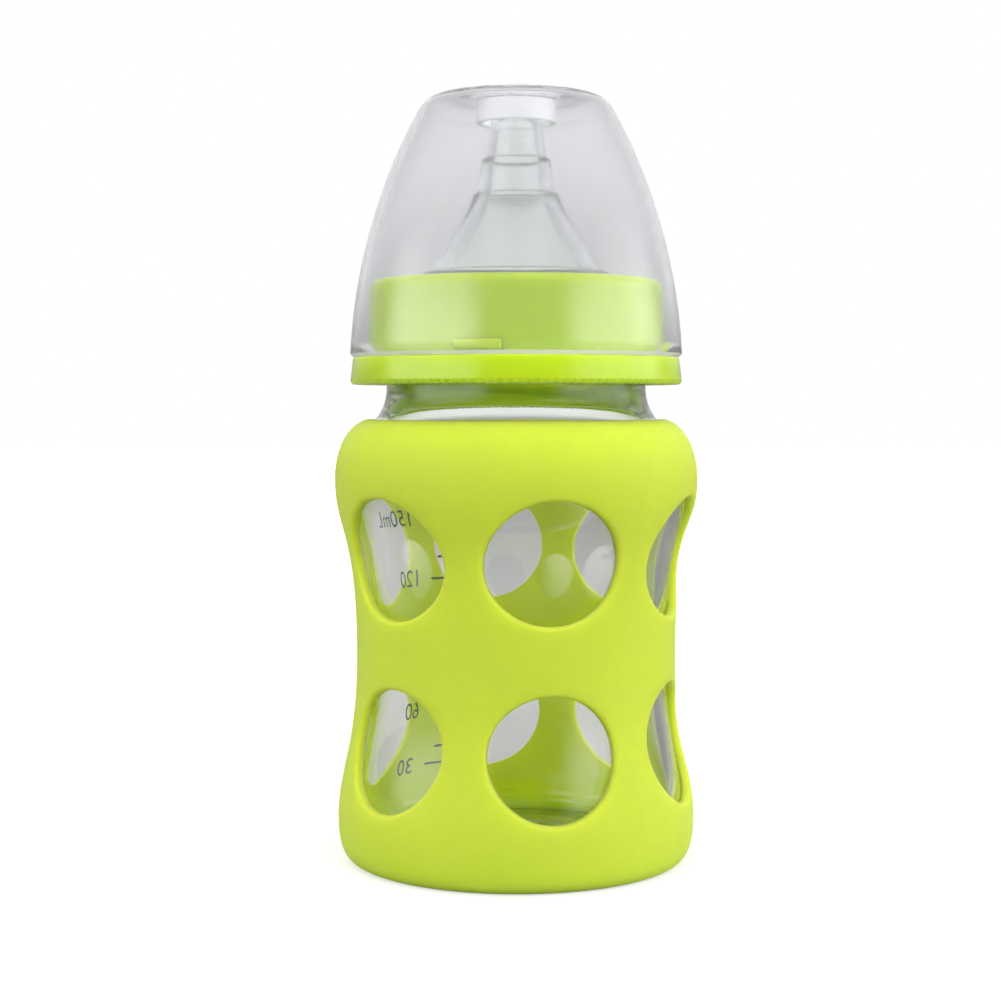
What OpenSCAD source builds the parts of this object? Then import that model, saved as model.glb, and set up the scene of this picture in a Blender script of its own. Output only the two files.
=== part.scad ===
// Wide-neck glass baby bottle: glass bottle in a windowed silicone sleeve, screw collar,
// stepped silicone teat and a clear dust cap. Every piece is a revolved form about +Z,
// and the bottle stands on z = 0. The front window looks along -Y.

/* [Glass bottle] */
// Thickness of the glass side wall
glass_wall = 2.5; // [1.8:0.1:3.5]
// Thickness of the glass floor
glass_floor = 2.2; // [1.6:0.1:3.5]
// Radius of the flat foot under the glass
foot_r = 27.5; // [24:0.1:31]
// Width of the ring that the glass stands on, outside its push-up
foot_ring = 6.5; // [4:0.1:9]
// Height of the push-up in the middle of the floor
pushup_h = 1.2; // [0.4:0.1:2.5]
// Radius of the lower swell
base_r = 32.7; // [30:0.1:38]
// Height of the lower swell above the foot
base_rise = 7.4; // [5:0.1:10]
// Radius of the waist
waist_r = 29; // [27:0.1:32]
// Height from the lower swell to the waist
waist_rise = 30.8; // [25:0.1:42]
// Radius of the upper swell
shoulder_r = 33.15; // [30:0.05:38]
// Height from the waist to the upper swell
shoulder_rise = 34.2; // [28:0.1:45]
// Outside radius of the straight neck
neck_r = 25; // [22:0.1:28]
// Height from the upper swell to the straight neck
neck_rise = 17.8; // [14:0.1:24]
// Length of the straight neck up to the rim
neck_h = 16.4; // [14:0.1:22]
// Thickness of the glass in the neck
neck_wall = 3.8; // [2.5:0.1:5]
// Height above the start of the straight neck where its inside turns straight
neck_turn = 2.5; // [0:0.1:5]
// Rounding of the two edges of the rim
rim_round = 0.6; // [0.3:0.1:1]

/* [Silicone sleeve] */
// Thickness of the sleeve wall
sleeve_wall = 1.8; // [1.2:0.1:3]
// Room between the glass and the sleeve
sleeve_gap = 0.1; // [0.05:0.05:0.3]
// Thickness of the lip that wraps under the glass
lip_h = 1.8; // [1.2:0.1:3]
// Reach of that lip inwards from the edge of the foot
lip_reach = 5.5; // [3:0.1:9]
// Distance of the upper edge below the straight neck
sleeve_drop = 6.4; // [5:0.1:10]
// Distance of the upper edge outside the neck radius
sleeve_rim_reach = 3.8; // [3:0.1:6]
// Height of the oval windows
window_h = 22.8; // [14:0.1:27]
// Width of the windows in the upper row
upper_window_w = 25.6; // [14:0.1:29]
// Width of the windows in the lower row
lower_window_w = 24.4; // [14:0.1:29]
// Windows in each row
window_count = 6; // [4:1:7]
// Height of the upper row above the waist
upper_row_rise = 19.8; // [16:0.1:24]
// Depth of the lower row below the waist
lower_row_drop = 15.7; // [14:0.1:18]

/* [Screw collar] */
// Room round the neck for the thread
thread_room = 1.7; // [1:0.1:2.5]
// Thickness of the threaded wall
collar_wall = 1.8; // [1.2:0.1:3]
// Thickness of the roof that holds the teat down
collar_roof = 1.6; // [1.2:0.1:3]
// Height of the collar's lower edge above the start of the straight neck
collar_lift = 0.3; // [0.2:0.1:2]
// Reach of the grip flange outside the threaded wall
flange_reach = 3.45; // [2.8:0.05:5]
// Height of the grip flange
flange_h = 5.1; // [3:0.1:7]
// Amount that the flange narrows towards its top
flange_taper = 0.45; // [0:0.05:0.6]
// Rounding of the flange's lower edge
flange_round = 0.8; // [0.4:0.1:1.4]
// Thickness of the skirt round the groove under the flange
skirt_wall = 1.6; // [1.2:0.1:2]
// Amount that the upper ring narrows towards its top
ring_draft = 0.2; // [0:0.05:0.5]
// Rounding of the upper edge
collar_round = 1.8; // [0.8:0.1:2.4]
// Radius of the hole that the teat passes through
hole_r = 17.6; // [15:0.1:20]
// Number of lugs that grip the dust cap
lug_count = 4; // [2:1:6]
// Width of a lug, in degrees round the axis
lug_angle = 17; // [8:1:30]
// Height of a lug
lug_h = 1.6; // [1:0.1:2.5]
// Distance of the lugs above the flange
lug_lift = 1.2; // [0.6:0.1:3]
// Turn of the first lug from the front window, in degrees
lug_turn = -26; // [-45:1:45]
// Room between a lug and the inside of the dust cap
lug_gap = 0.4; // [0.3:0.05:0.8]

/* [Teat] */
// Thickness of the flange clamped between the rim and the collar
teat_flange_t = 2.2; // [1.5:0.1:3]
// Room round that flange inside the collar
teat_flange_gap = 1.1; // [0.5:0.1:2]
// Room between the teat and the collar's hole and roof
teat_fit = 0.3; // [0.2:0.05:0.6]
// Thickness of the teat's wall
teat_wall = 1.6; // [1:0.1:2.2]
// Amount that the retaining bead overhangs the collar's hole
bead_reach = 0.8; // [0.4:0.1:1.5]
// Height of the retaining bead
bead_h = 1.4; // [1:0.1:2.5]
// Amount that the bell narrows above the bead
bell_inset = 0.5; // [0.2:0.1:1.5]
// Height of the bell above the bead
bell_h = 14.5; // [12:0.1:20]
// Radius of the stem at the top of the bell
stem_r = 8.3; // [7:0.1:10]
// Height of each of the two tiers of the stem
tier_h = 6.7; // [4.5:0.1:8]
// Width of the step at the foot of a tier
tier_step = 0.95; // [0.4:0.05:1.2]
// Amount that each tier narrows towards its top
tier_draft = 0.7; // [0.3:0.1:1.2]
// Length of the tip above the upper tier
tip_h = 3.7; // [3:0.1:6]
// Diameter of the feed hole
feed_d = 0.8; // [0.4:0.1:1.5]

/* [Dust cap] */
// Thickness of the cap's wall
cap_wall = 1.3; // [0.9:0.1:1.8]
// Amount that the cap's rim stands outside the top of the flange
cap_overhang = 0.5; // [0:0.05:0.8]
// Bevel round the foot of the rim
cap_bevel = 0.8; // [0.3:0.1:1]
// Room between the tip of the teat and the cap's ceiling
cap_room = 1; // [0.6:0.1:3]
// Radius of the cap below its crown
crown_r = 19.4; // [16:0.1:23]
// Height of the crown's rounded edge
crown_h = 4; // [2.5:0.1:6]
// Width of the crown's rounded edge
crown_edge = 6.4; // [4:0.1:9]
// Length of the ring that hangs round the tip of the teat
boss_h = 4.2; // [2.5:0.1:6]
// Thickness of that ring
boss_wall = 1.2; // [0.8:0.1:2]
// Room between that ring and the teat
boss_gap = 1.5; // [0.6:0.1:3]

/* [Hidden] */
$fn = 96;
// Straight steps along one stretch of a curved outline
steps = 9;
// Overshoot of a cut
over = 1;

// Heights of the glass, each on top of the one below it
glass_z = lip_h;
floor_z = glass_z + glass_floor;
base_z = glass_z + base_rise;
waist_z = base_z + waist_rise;
shoulder_z = waist_z + shoulder_rise;
neck_z = shoulder_z + neck_rise;
rim_z = neck_z + neck_h;
pushup_r = foot_r - foot_ring;

// Fullness of the curves: share of a rise or a run along which an outline keeps its direction
foot_pull = [0.8, 0.65];
lower_pull = [0.26, 0.55];
upper_pull = [0.72, 0.3];
neck_pull = [0.56, 0.5];
throat_pull = [0.4, 0.5];
sleeve_top_pull = [0.58, 0.5];
sleeve_top_fall = 0.06;
bell_low_pull = [0.28, 0.25];
bell_high_pull = [0.18, 0.33];
tip_pull = [0.5, 0.6];
cap_low_pull = [0.06, 0.34];
cap_high_pull = [0.6, 0.31];
crown_pull = [0.6, 0.6];

// Sleeve round the glass
cover = sleeve_gap + sleeve_wall;
sleeve_top_z = neck_z - sleeve_drop;
sleeve_rim_r = neck_r + sleeve_rim_reach;
lip_r = foot_r - lip_reach;

// Collar round the neck
bore_r = neck_r + thread_room;
ring_r = bore_r + collar_wall;
flange_r = ring_r + flange_reach;
flange_z = neck_z + collar_lift;
flange_top_z = flange_z + flange_h;
flange_top_r = flange_r - flange_taper;
roof_z = rim_z + teat_flange_t;
collar_top_z = roof_z + collar_roof;

// Teat through the collar
teat_flange_r = bore_r - teat_flange_gap;
groove_r = hole_r - teat_fit;
bead_r = hole_r + bead_reach;
bead_z = collar_top_z + teat_fit;
bell_r = bead_r - bell_inset - bead_reach;
bell_z = bead_z + bead_h;
stem_z = bell_z + bell_h;
tip_r = stem_r - 2 * (tier_step + tier_draft);
tip_z = stem_z + 2 * tier_h;
tip_top_z = tip_z + tip_h;

// Cap over the teat
cap_r = flange_top_r + cap_overhang;
cap_z = flange_top_z;
cap_top_z = tip_top_z + cap_room + cap_wall;
crown_z = cap_top_z - crown_h;
boss_r = tip_r + boss_gap;
lug_r = cap_r - cap_wall - lug_gap;

// Points of a smooth curve from a to d that leaves towards b and arrives from c
function curve(a, b, c, d) = [
    for (i = [0 : steps])
        let (t = i / steps, s = 1 - t)
            s^3 * a + 3 * s^2 * t * b + 3 * s * t^2 * c + t^3 * d
];

// Points of a round corner about the centre c
function corner(c, r, from, to) = [
    for (i = [0 : steps])
        let (a = from + (to - from) * i / steps)
            c + r * [cos(a), sin(a)]
];

// S-shaped stretch between two upright ends, with the fullness of each end
function sway(a, d, pull) =
    let (rise = d.y - a.y)
        curve(a, a + [0, pull[0] * rise], d - [0, pull[1] * rise], d);

// Round foot that starts flat at radius r and height z, and ends at the lower swell
function foot(r, z, swell_r) =
    let (start = [r, z], swell = [swell_r, base_z], run = swell - start)
        curve(start, start + [foot_pull[0] * run.x, 0], swell - [0, foot_pull[1] * run.y], swell);

// Side of the bottle from the lower swell to the upper one, moved outwards by add
function side(add) = concat(
    sway([base_r + add, base_z], [waist_r + add, waist_z], lower_pull),
    sway([waist_r + add, waist_z], [shoulder_r + add, shoulder_z], upper_pull)
);

// Low dome in the middle of the floor, at height z on its edge
function pushup(z) =
    curve([0, z + pushup_h], [pushup_r / 2, z + pushup_h], [pushup_r / 2, z], [pushup_r, z]);

// Outside of the glass, moved outwards by add
function glass_outside(add) = concat(
    foot(foot_r + add, glass_z, base_r + add),
    side(add),
    sway([shoulder_r + add, shoulder_z], [neck_r + add, neck_z], neck_pull)
);

// Inside of the glass, which turns straight above the outside because the neck is thicker
function glass_inside() = concat(
    pushup(floor_z),
    foot(foot_r - glass_wall, floor_z, base_r - glass_wall),
    side(-glass_wall),
    sway([shoulder_r - glass_wall, shoulder_z], [neck_r - neck_wall, neck_z + neck_turn], throat_pull),
    [[neck_r - neck_wall, rim_z - rim_round]]
);

module glass_bottle() {
    rim_mid = neck_r - neck_wall;
    color("gainsboro", 0.4)
        rotate_extrude()
            difference() {
                polygon(concat(
                    pushup(glass_z),
                    glass_outside(0),
                    corner([neck_r - rim_round, rim_z - rim_round], rim_round, 0, 90),
                    [[0, rim_z]]
                ));
                polygon(concat(
                    glass_inside(),
                    [[rim_mid + rim_round, rim_z], [rim_mid + rim_round, rim_z + over], [0, rim_z + over]]
                ));
            }
}

// Outside of the sleeve, closed to the axis
function sleeve_outside() =
    let (
        swell = [shoulder_r + cover, shoulder_z],
        edge = [sleeve_rim_r, sleeve_top_z],
        rise = edge.y - swell.y,
        run = swell.x - edge.x
    )
        concat(
            [[0, 0]],
            foot(foot_r + cover, 0, base_r + cover),
            side(cover),
            curve(
                swell,
                swell + [0, sleeve_top_pull[0] * rise],
                edge + [sleeve_top_pull[1] * run, -sleeve_top_fall * rise],
                edge
            ),
            [[0, sleeve_top_z]]
        );

// One row of oval windows through the sleeve, the first one to the front
module window_row(z, w) {
    for (i = [0 : window_count - 1])
        rotate([0, 0, i * 360 / window_count])
            translate([0, 0, z])
                rotate([90, 0, 0])
                    scale([w / window_h, 1, 1])
                        cylinder(d = window_h, h = shoulder_r + base_r);
}

module silicone_sleeve() {
    color("yellowgreen")
        difference() {
            rotate_extrude()
                difference() {
                    polygon(sleeve_outside());
                    polygon(concat([[0, glass_z]], glass_outside(sleeve_gap), [[0, neck_z]]));
                    translate([0, shoulder_z])
                        square([sleeve_rim_r, neck_rise]);
                    translate([0, -over])
                        square([lip_r, glass_z + 2 * over]);
                }
            window_row(waist_z + upper_row_rise, upper_window_w);
            window_row(waist_z - lower_row_drop, lower_window_w);
        }
}

// Half section of the collar, with the groove that cores out its flange
module collar_section() {
    top_r = ring_r - ring_draft;
    difference() {
        polygon(concat(
            [[bore_r, flange_z]],
            corner([flange_r - flange_round, flange_z + flange_round], flange_round, -90, 0),
            [[flange_top_r, flange_top_z], [ring_r, flange_top_z]],
            corner([top_r - collar_round, collar_top_z - collar_round], collar_round, 0, 90),
            corner([hole_r + collar_roof / 2, collar_top_z - collar_roof / 2], collar_roof / 2, 90, 180),
            [[hole_r, roof_z], [bore_r, roof_z]]
        ));
        translate([ring_r, flange_z - over])
            square([flange_reach - skirt_wall - flange_taper, flange_h - skirt_wall + over]);
    }
}

module screw_collar() {
    color("greenyellow") {
        rotate_extrude()
            collar_section();
        for (i = [0 : lug_count - 1])
            rotate([0, 0, i * 360 / lug_count + lug_turn - 90 - lug_angle / 2])
                rotate_extrude(angle = lug_angle)
                    translate([ring_r - collar_wall / 2, flange_top_z + lug_lift])
                        square([lug_r - ring_r + collar_wall / 2, lug_h]);
    }
}

// One tier of the stem: a step inwards over a short cone, then a long drafted side
function tier(r, z) = [
    [r, z],
    [r - tier_step, z + tier_step],
    [r - tier_step - tier_draft, z + tier_h]
];

// Side of the bell, almost a cone, from its foot a to the stem at d
function bell(a, d) =
    let (run = [d.x - a.x, 0], rise = [0, d.y - a.y])
        curve(
            a,
            a + bell_low_pull[0] * run + bell_low_pull[1] * rise,
            d - bell_high_pull[0] * run - bell_high_pull[1] * rise,
            d
        );

// Rounded end from radius r at height z to the axis at height top
function dome(r, z, top) =
    curve([r, z], [r, z + tip_pull[0] * (top - z)], [tip_pull[1] * r, top], [0, top]);

module teat_section() {
    inner_r = bell_r - teat_wall;
    inner_stem = stem_r - tier_step - teat_wall;
    inner_tip = tip_r - teat_wall;
    bead_mid = bead_z + bead_h / 2;
    difference() {
        polygon(concat(
            [[0, rim_z], [teat_flange_r, rim_z], [teat_flange_r, roof_z]],
            [[groove_r, roof_z], [groove_r, bead_z]],
            corner([bead_r - bead_h / 2, bead_mid], bead_h / 2, -90, 90),
            bell([bell_r, bell_z], [stem_r, stem_z]),
            tier(stem_r, stem_z),
            tier(stem_r - tier_step - tier_draft, stem_z + tier_h),
            dome(tip_r, tip_z, tip_top_z)
        ));
        polygon(concat(
            [[0, rim_z - over], [inner_r, rim_z - over]],
            bell([inner_r, bell_z - teat_wall], [inner_stem, stem_z - teat_wall]),
            dome(inner_tip, tip_z, tip_top_z - teat_wall)
        ));
    }
}

module teat() {
    color("aliceblue")
        difference() {
            rotate_extrude()
                teat_section();
            translate([0, 0, tip_z])
                cylinder(d = feed_d, h = tip_h + over);
        }
}

// Wall of the cap from its rim to the flat of its crown, moved inwards by inset
function cap_side(inset) =
    let (
        low = [cap_r - inset, cap_z + cap_bevel],
        high = [crown_r - inset, crown_z - inset / 2],
        run = low.x - high.x,
        rise = high.y - low.y,
        leaving = [-cap_low_pull[0] * run, cap_low_pull[1] * rise],
        arriving = [-cap_high_pull[0] * run, cap_high_pull[1] * rise],
        flat = [crown_r - crown_edge, cap_top_z - inset],
        lean = arriving / arriving.y * crown_pull[0] * (flat.y - high.y)
    )
        concat(
            curve(low, low + leaving, high - arriving, high),
            curve(high, high + lean, flat + [crown_pull[1] * crown_edge, 0], flat)
        );

module dust_cap() {
    ceiling_z = cap_top_z - cap_wall;
    color("lavender", 0.5)
        rotate_extrude() {
            difference() {
                polygon(concat(
                    [[0, cap_z], [cap_r - cap_bevel, cap_z]],
                    cap_side(0),
                    [[0, cap_top_z]]
                ));
                polygon(concat(
                    [[0, cap_z - over], [cap_r - cap_wall, cap_z - over]],
                    cap_side(cap_wall),
                    [[0, ceiling_z]]
                ));
            }
            translate([boss_r, ceiling_z - boss_h])
                square([boss_wall, boss_h + cap_wall / 2]);
        }
}

glass_bottle();
silicone_sleeve();
screw_collar();
teat();
dust_cap();
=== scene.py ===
"""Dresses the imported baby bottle: glass, printed scale, sleeve, collar, teat, dust cap and a studio."""
import math

import bpy
from bpy.props import FloatProperty, FloatVectorProperty, IntProperty, PointerProperty
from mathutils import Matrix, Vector


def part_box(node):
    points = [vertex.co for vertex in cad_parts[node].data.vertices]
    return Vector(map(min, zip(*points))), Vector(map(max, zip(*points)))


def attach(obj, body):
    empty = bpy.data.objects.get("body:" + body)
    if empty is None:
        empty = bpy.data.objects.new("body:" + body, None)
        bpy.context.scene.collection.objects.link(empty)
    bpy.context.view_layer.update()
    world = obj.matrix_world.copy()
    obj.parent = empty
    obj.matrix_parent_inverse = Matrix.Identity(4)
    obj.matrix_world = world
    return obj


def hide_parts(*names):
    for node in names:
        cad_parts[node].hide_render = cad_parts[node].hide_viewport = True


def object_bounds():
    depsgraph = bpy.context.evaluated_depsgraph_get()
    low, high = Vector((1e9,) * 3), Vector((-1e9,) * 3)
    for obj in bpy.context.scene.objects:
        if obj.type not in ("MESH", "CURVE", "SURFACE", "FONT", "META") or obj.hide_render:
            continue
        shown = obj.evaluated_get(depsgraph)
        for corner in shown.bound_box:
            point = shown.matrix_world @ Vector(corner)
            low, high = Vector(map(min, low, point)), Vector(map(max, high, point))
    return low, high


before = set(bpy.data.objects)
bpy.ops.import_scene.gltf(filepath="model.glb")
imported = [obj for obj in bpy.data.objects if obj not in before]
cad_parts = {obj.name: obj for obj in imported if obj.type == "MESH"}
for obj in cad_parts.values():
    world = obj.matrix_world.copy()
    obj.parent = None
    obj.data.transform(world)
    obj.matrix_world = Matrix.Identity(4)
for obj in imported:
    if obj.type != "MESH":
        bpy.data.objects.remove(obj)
CAD_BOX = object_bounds()

bl_info = {
    "name": "Glass baby bottle",
    "version": (1, 0, 0),
    "blender": (4, 5, 0),
    "location": "3D View > Sidebar > Bottle",
    "description": "Models a wide-neck glass baby bottle with its sleeve, collar, teat and dust cap",
    "category": "Add Mesh",
}

MM = 0.001
# How near two points count as one, and how near a point counts as lying on a surface
WELD = 1e-6
NEAR = 10 * WELD
# Steps of a turned body and of a curve, and the height of a row of faces that carries a thread
TURN_STEPS = 128
CURVE_STEPS = 14
THREAD_ROW = 0.4 * MM

GLASS_LOW, GLASS_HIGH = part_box("glass_bottle")
SLEEVE_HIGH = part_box("silicone_sleeve")[1]
COLLAR_LOW, COLLAR_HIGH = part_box("screw_collar")
TEAT_LOW, TEAT_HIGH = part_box("teat")
CAP_LOW, CAP_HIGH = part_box("dust_cap")


def length(name, description, default):
    """A size in metres, with its default in millimetres."""
    return FloatProperty(name=name, description=description, default=default * MM, unit="LENGTH", precision=5)


def framed(name, description, default):
    """A size that the frame gives in metres."""
    return FloatProperty(name=name, description=description, default=default, unit="LENGTH", precision=5)


def colour(name, description, default):
    """A scene-linear colour."""
    return FloatVectorProperty(
        name=name, description=description, default=default, size=3, min=0, max=1, subtype="COLOR"
    )


def angle(name, description, degrees):
    """An angle, with its default in degrees."""
    return FloatProperty(name=name, description=description, default=math.radians(degrees), subtype="ANGLE")


def whole(name, description, default):
    """A whole number."""
    return IntProperty(name=name, description=description, default=default)


class GlassSizes(bpy.types.PropertyGroup):
    """Sizes of the glass bottle, each radius with the height where it lies"""

    wall: length("Wall", "Thickness of the side wall", 2.5)
    floor: length("Floor", "Thickness of the floor", 2.2)
    foot: length("Foot", "Radius of the flat foot", 27.5)
    ring: length("Standing ring", "Width of the ring outside the push-up", 6.5)
    pushup: length("Push-up", "Rise of the floor in the middle", 1.2)
    base: length("Lower swell", "Radius of the lower swell", 32.7)
    base_rise: length("Lower swell rise", "Height from the foot to the lower swell", 7.4)
    waist: length("Waist", "Radius of the waist", 29)
    waist_rise: length("Waist rise", "Height from the lower swell to the waist", 30.8)
    shoulder: length("Upper swell", "Radius of the upper swell", 33.15)
    shoulder_rise: length("Upper swell rise", "Height from the waist to the upper swell", 34.2)
    neck: length("Neck", "Radius of the straight neck", 25)
    neck_rise: length("Neck rise", "Height from the upper swell to the straight neck", 17.8)
    neck_wall: length("Neck wall", "Thickness of the glass in the neck", 3.8)
    neck_turn: length("Neck turn", "Height above the neck's start where its inside turns straight", 2.5)
    foot_z: framed("Foot height", "Height of the foot, on the sleeve's lip", GLASS_LOW.z)
    rim_z: framed("Rim height", "Height of the rim", GLASS_HIGH.z)
    rim_round: length("Rim rounding", "Rounding of the rim's edges", 0.6)


class ThreadSizes(bpy.types.PropertyGroup):
    """Sizes of the screw thread that the neck and the collar share"""

    pitch: length("Pitch", "Rise of one turn", 4)
    ridge: length("Ridge", "Height of a ridge", 1.15)
    half: length("Half width", "Half the width of a ridge at its foot", 1.1)
    start: length("Start", "Height of the first ridge above the straight neck's start", 5.2)
    turns: FloatProperty(name="Turns", description="Turns of the ridge round the neck", default=2.25)


class ScaleSizes(bpy.types.PropertyGroup):
    """Sizes of the millilitre scale printed on the glass"""

    step: whole("Step", "Millilitres between two ticks", 10)
    number: whole("Number", "Millilitres between two numbers", 30)
    top: whole("Top", "Largest number on the scale", 150)
    text: length("Numbers", "Type size of the numbers", 4.8)
    line: length("Line", "Width of the printed lines", 0.45)
    tick: length("Tick", "Length of a tick at a number", 4.4)
    short: length("Short tick", "Length of a tick between two numbers", 2.3)
    gap: length("Gap", "Room between a tick and its number", 3.1)
    drop: length("Drop", "Depth of a tick below the height that its fill reaches", 0.8)
    film: length("Film", "Thickness of the ink", 0.03)
    turn: angle("Turn", "Turn of the line from the front", 198)


class SleeveSizes(bpy.types.PropertyGroup):
    """Sizes of the silicone sleeve round the glass"""

    wall: length("Wall", "Thickness of the sleeve", 1.7)
    gap: length("Gap", "Room between the glass and the sleeve", 0.2)
    lip: length("Lip", "Radius of the opening under the foot", 22)
    rim: length("Rim", "Radius of the upper edge", 28.8)
    rim_z: framed("Rim height", "Height of the upper edge", SLEEVE_HIGH.z)
    window_h: length("Window height", "Height of the oval windows", 22.8)
    upper_w: length("Upper windows", "Width of the windows in the upper row", 25.6)
    lower_w: length("Lower windows", "Width of the windows in the lower row", 24.4)
    count: whole("Windows", "Windows in one row", 6)
    upper: length("Upper row", "Height of the upper row above the waist", 19.8)
    lower: length("Lower row", "Depth of the lower row below the waist", 15.7)
    cell: length("Cell", "Half the height of the band that a row of windows takes", 14.3)
    soft: length("Soft edge", "Rounding of the outer edge of a window", 0.85)
    seam: length("Seam", "Half the width of the moulding seam", 0.28)
    seam_rise: length("Seam rise", "Height of the moulding seam", 0.1)
    seam_low: length("Seam start", "Height above the floor where the moulding seam starts", 4.77)


class CollarSizes(bpy.types.PropertyGroup):
    """Sizes of the screw collar"""

    bore: length("Bore", "Radius inside the threaded wall", 26.7)
    ring: length("Ring", "Radius outside the threaded wall", 28.5)
    draft: length("Draft", "Amount that the ring narrows towards its top", 0.2)
    flange: framed("Flange", "Radius of the grip flange", COLLAR_HIGH.x)
    flange_h: length("Flange height", "Height of the grip flange", 5.1)
    taper: length("Flange taper", "Amount that the flange narrows towards its top", 0.45)
    round_low: length("Lower rounding", "Rounding of the flange's lower edge", 0.8)
    round_flange: length("Flange rounding", "Rounding of the flange's upper edge", 0.25)
    round_top: length("Upper rounding", "Rounding of the ring's upper edge", 1.8)
    roof: length("Roof", "Thickness of the roof over the teat's flange", 1.6)
    hole: length("Hole", "Radius of the hole for the teat", 17.6)
    skirt: length("Skirt", "Thickness of the skirt round the groove", 1.6)
    low_z: framed("Lower edge", "Height of the lower edge", COLLAR_LOW.z)
    top_z: framed("Upper edge", "Height of the upper edge", COLLAR_HIGH.z)
    notches: whole("Notches", "Grip notches round the lower edge", 120)
    notch: length("Notch", "Depth of a grip notch", 0.22)
    lugs: whole("Lugs", "Lugs that hold the dust cap", 4)
    lug_w: angle("Lug width", "Width of a lug", 17)
    lug_turn: angle("Lug turn", "Turn of the first lug from the front", -26)
    lug_h: length("Lug height", "Height of a lug", 1.6)
    lug_lift: length("Lug lift", "Height of a lug above the flange", 1.2)
    lug_r: length("Lug reach", "Radius of the outer face of a lug", 30.3)
    lug_root: length("Lug root", "Depth of a lug inside the ring", 0.5)
    lug_round: length("Lug rounding", "Rounding of a lug's edges", 0.45)


class TeatSizes(bpy.types.PropertyGroup):
    """Sizes of the teat"""

    flange: framed("Flange", "Radius of the clamped flange", TEAT_HIGH.x)
    flange_t: length("Flange thickness", "Thickness of the clamped flange", 2.2)
    fit: length("Fit", "Room between the teat and the collar", 0.3)
    wall: length("Wall", "Thickness of the wall", 1.6)
    bead: length("Bead", "Reach of the retaining bead past the collar's hole", 0.8)
    bead_h: length("Bead height", "Height of the retaining bead", 1.4)
    bell: length("Bell", "Radius of the bell above the bead", 17.1)
    bell_h: length("Bell height", "Height of the bell", 14.5)
    stem: length("Stem", "Radius of the stem on the bell", 8.3)
    tier_h: length("Tier height", "Height of a tier of the stem", 6.7)
    step: length("Step", "Width of the step below a tier", 0.95)
    draft: length("Draft", "Amount that a tier narrows", 0.7)
    low_z: framed("Lower face", "Height of the flange's lower face", TEAT_LOW.z)
    top_z: framed("Tip", "Height of the tip", TEAT_HIGH.z)
    feed: length("Feed hole", "Radius of the feed hole", 0.4)
    edge: length("Edge", "Rounding of the flange's edges", 0.5)


class CapSizes(bpy.types.PropertyGroup):
    """Sizes of the dust cap"""

    wall: length("Wall", "Thickness of the wall", 1.3)
    rim: framed("Rim", "Radius of the rim", CAP_HIGH.x)
    bevel: length("Bevel", "Bevel round the foot of the rim", 0.8)
    crown: length("Crown", "Radius below the crown", 19.4)
    crown_h: length("Crown height", "Height of the crown's rounded edge", 4)
    crown_edge: length("Crown edge", "Width of the crown's rounded edge", 6.4)
    boss: length("Ring", "Radius inside the ring round the teat's tip", 6.5)
    boss_wall: length("Ring wall", "Thickness of that ring", 1.2)
    boss_h: length("Ring height", "Length of that ring", 4.2)
    edge: length("Edge", "Rounding of the thin edges of the rim and the ring", 0.2)
    fillet: length("Fillet", "Rounding where the ring meets the crown", 0.6)
    low_z: framed("Rim height", "Height of the rim's lower face", CAP_LOW.z)
    top_z: framed("Top", "Height of the crown", CAP_HIGH.z)


class BottleColours(bpy.types.PropertyGroup):
    """Colours of the finishes"""

    sleeve: colour("Sleeve", "Lime silicone of the sleeve", (0.61, 0.955, 0.06))
    collar: colour("Collar", "Lime plastic of the collar", (0.52, 0.72, 0.022))
    glass: colour("Glass", "Tint of the glass", (0.99, 0.998, 0.992))
    teat: colour("Teat", "Tint of the teat's silicone", (0.96, 0.98, 0.96))
    cap: colour("Cap", "Tint of the cap's plastic", (0.93, 0.93, 0.96))
    # Whiter tint of the cap's rim foot and crown ring, a painted highlight
    milk: colour("Thick cap", "Tint of the cap's rim and ring", (0.97, 0.97, 0.98))
    ink: colour("Ink", "Ink of the printed scale", (0.035, 0.055, 0.095))
    floor: colour("Floor", "Paper of the floor behind the bottle", (0.64, 0.64, 0.635))
    front: colour("Grey floor", "Paper of the floor before the bottle and at its right", (0.28, 0.28, 0.28))


class StudioSizes(bpy.types.PropertyGroup):
    """Camera and lights of the studio"""

    distance: length("Distance", "Distance of the camera from the bottle's axis", 388)
    eye: length("Eye height", "Height of the camera above the floor", 88.35)
    turn: angle("Turn", "Turn of the camera from the front", -12.5)
    lens: FloatProperty(name="Lens", description="Focal length in millimetres", default=71.93, unit="CAMERA")
    dip: angle("Dip", "Downward tilt", 2.73)
    pan: angle("Pan", "Turn to the left of the axis", 0.444)
    floor: length("Floor", "Side of the square floor", 8000)


GROUPS = {
    "bottle_glass": GlassSizes,
    "bottle_thread": ThreadSizes,
    "bottle_scale": ScaleSizes,
    "bottle_sleeve": SleeveSizes,
    "bottle_collar": CollarSizes,
    "bottle_teat": TeatSizes,
    "bottle_cap": CapSizes,
    "bottle_colours": BottleColours,
    "bottle_studio": StudioSizes,
}

# Outlines

# Share of its run or rise over which each end of a curve keeps to its own direction
FOOT_PULL = (0.8, 0.65)
LOWER_PULL = (0.26, 0.55)
UPPER_PULL = (0.72, 0.3)
NECK_PULL = (0.56, 0.5)
THROAT_PULL = (0.4, 0.5)
SLEEVE_TOP_PULL = (0.58, 0.5)
SLEEVE_TOP_FALL = 0.06
BELL_LOW_PULL = (0.28, 0.25)
BELL_HIGH_PULL = (0.18, 0.33)
TIP_PULL = (0.5, 0.6)
CAP_LOW_PULL = (0.06, 0.34)
CAP_HIGH_PULL = (0.6, 0.31)
CROWN_PULL = (0.6, 0.6)


def point(r, z):
    """A point of an outline: radius and height."""
    return Vector((r, z))


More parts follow.
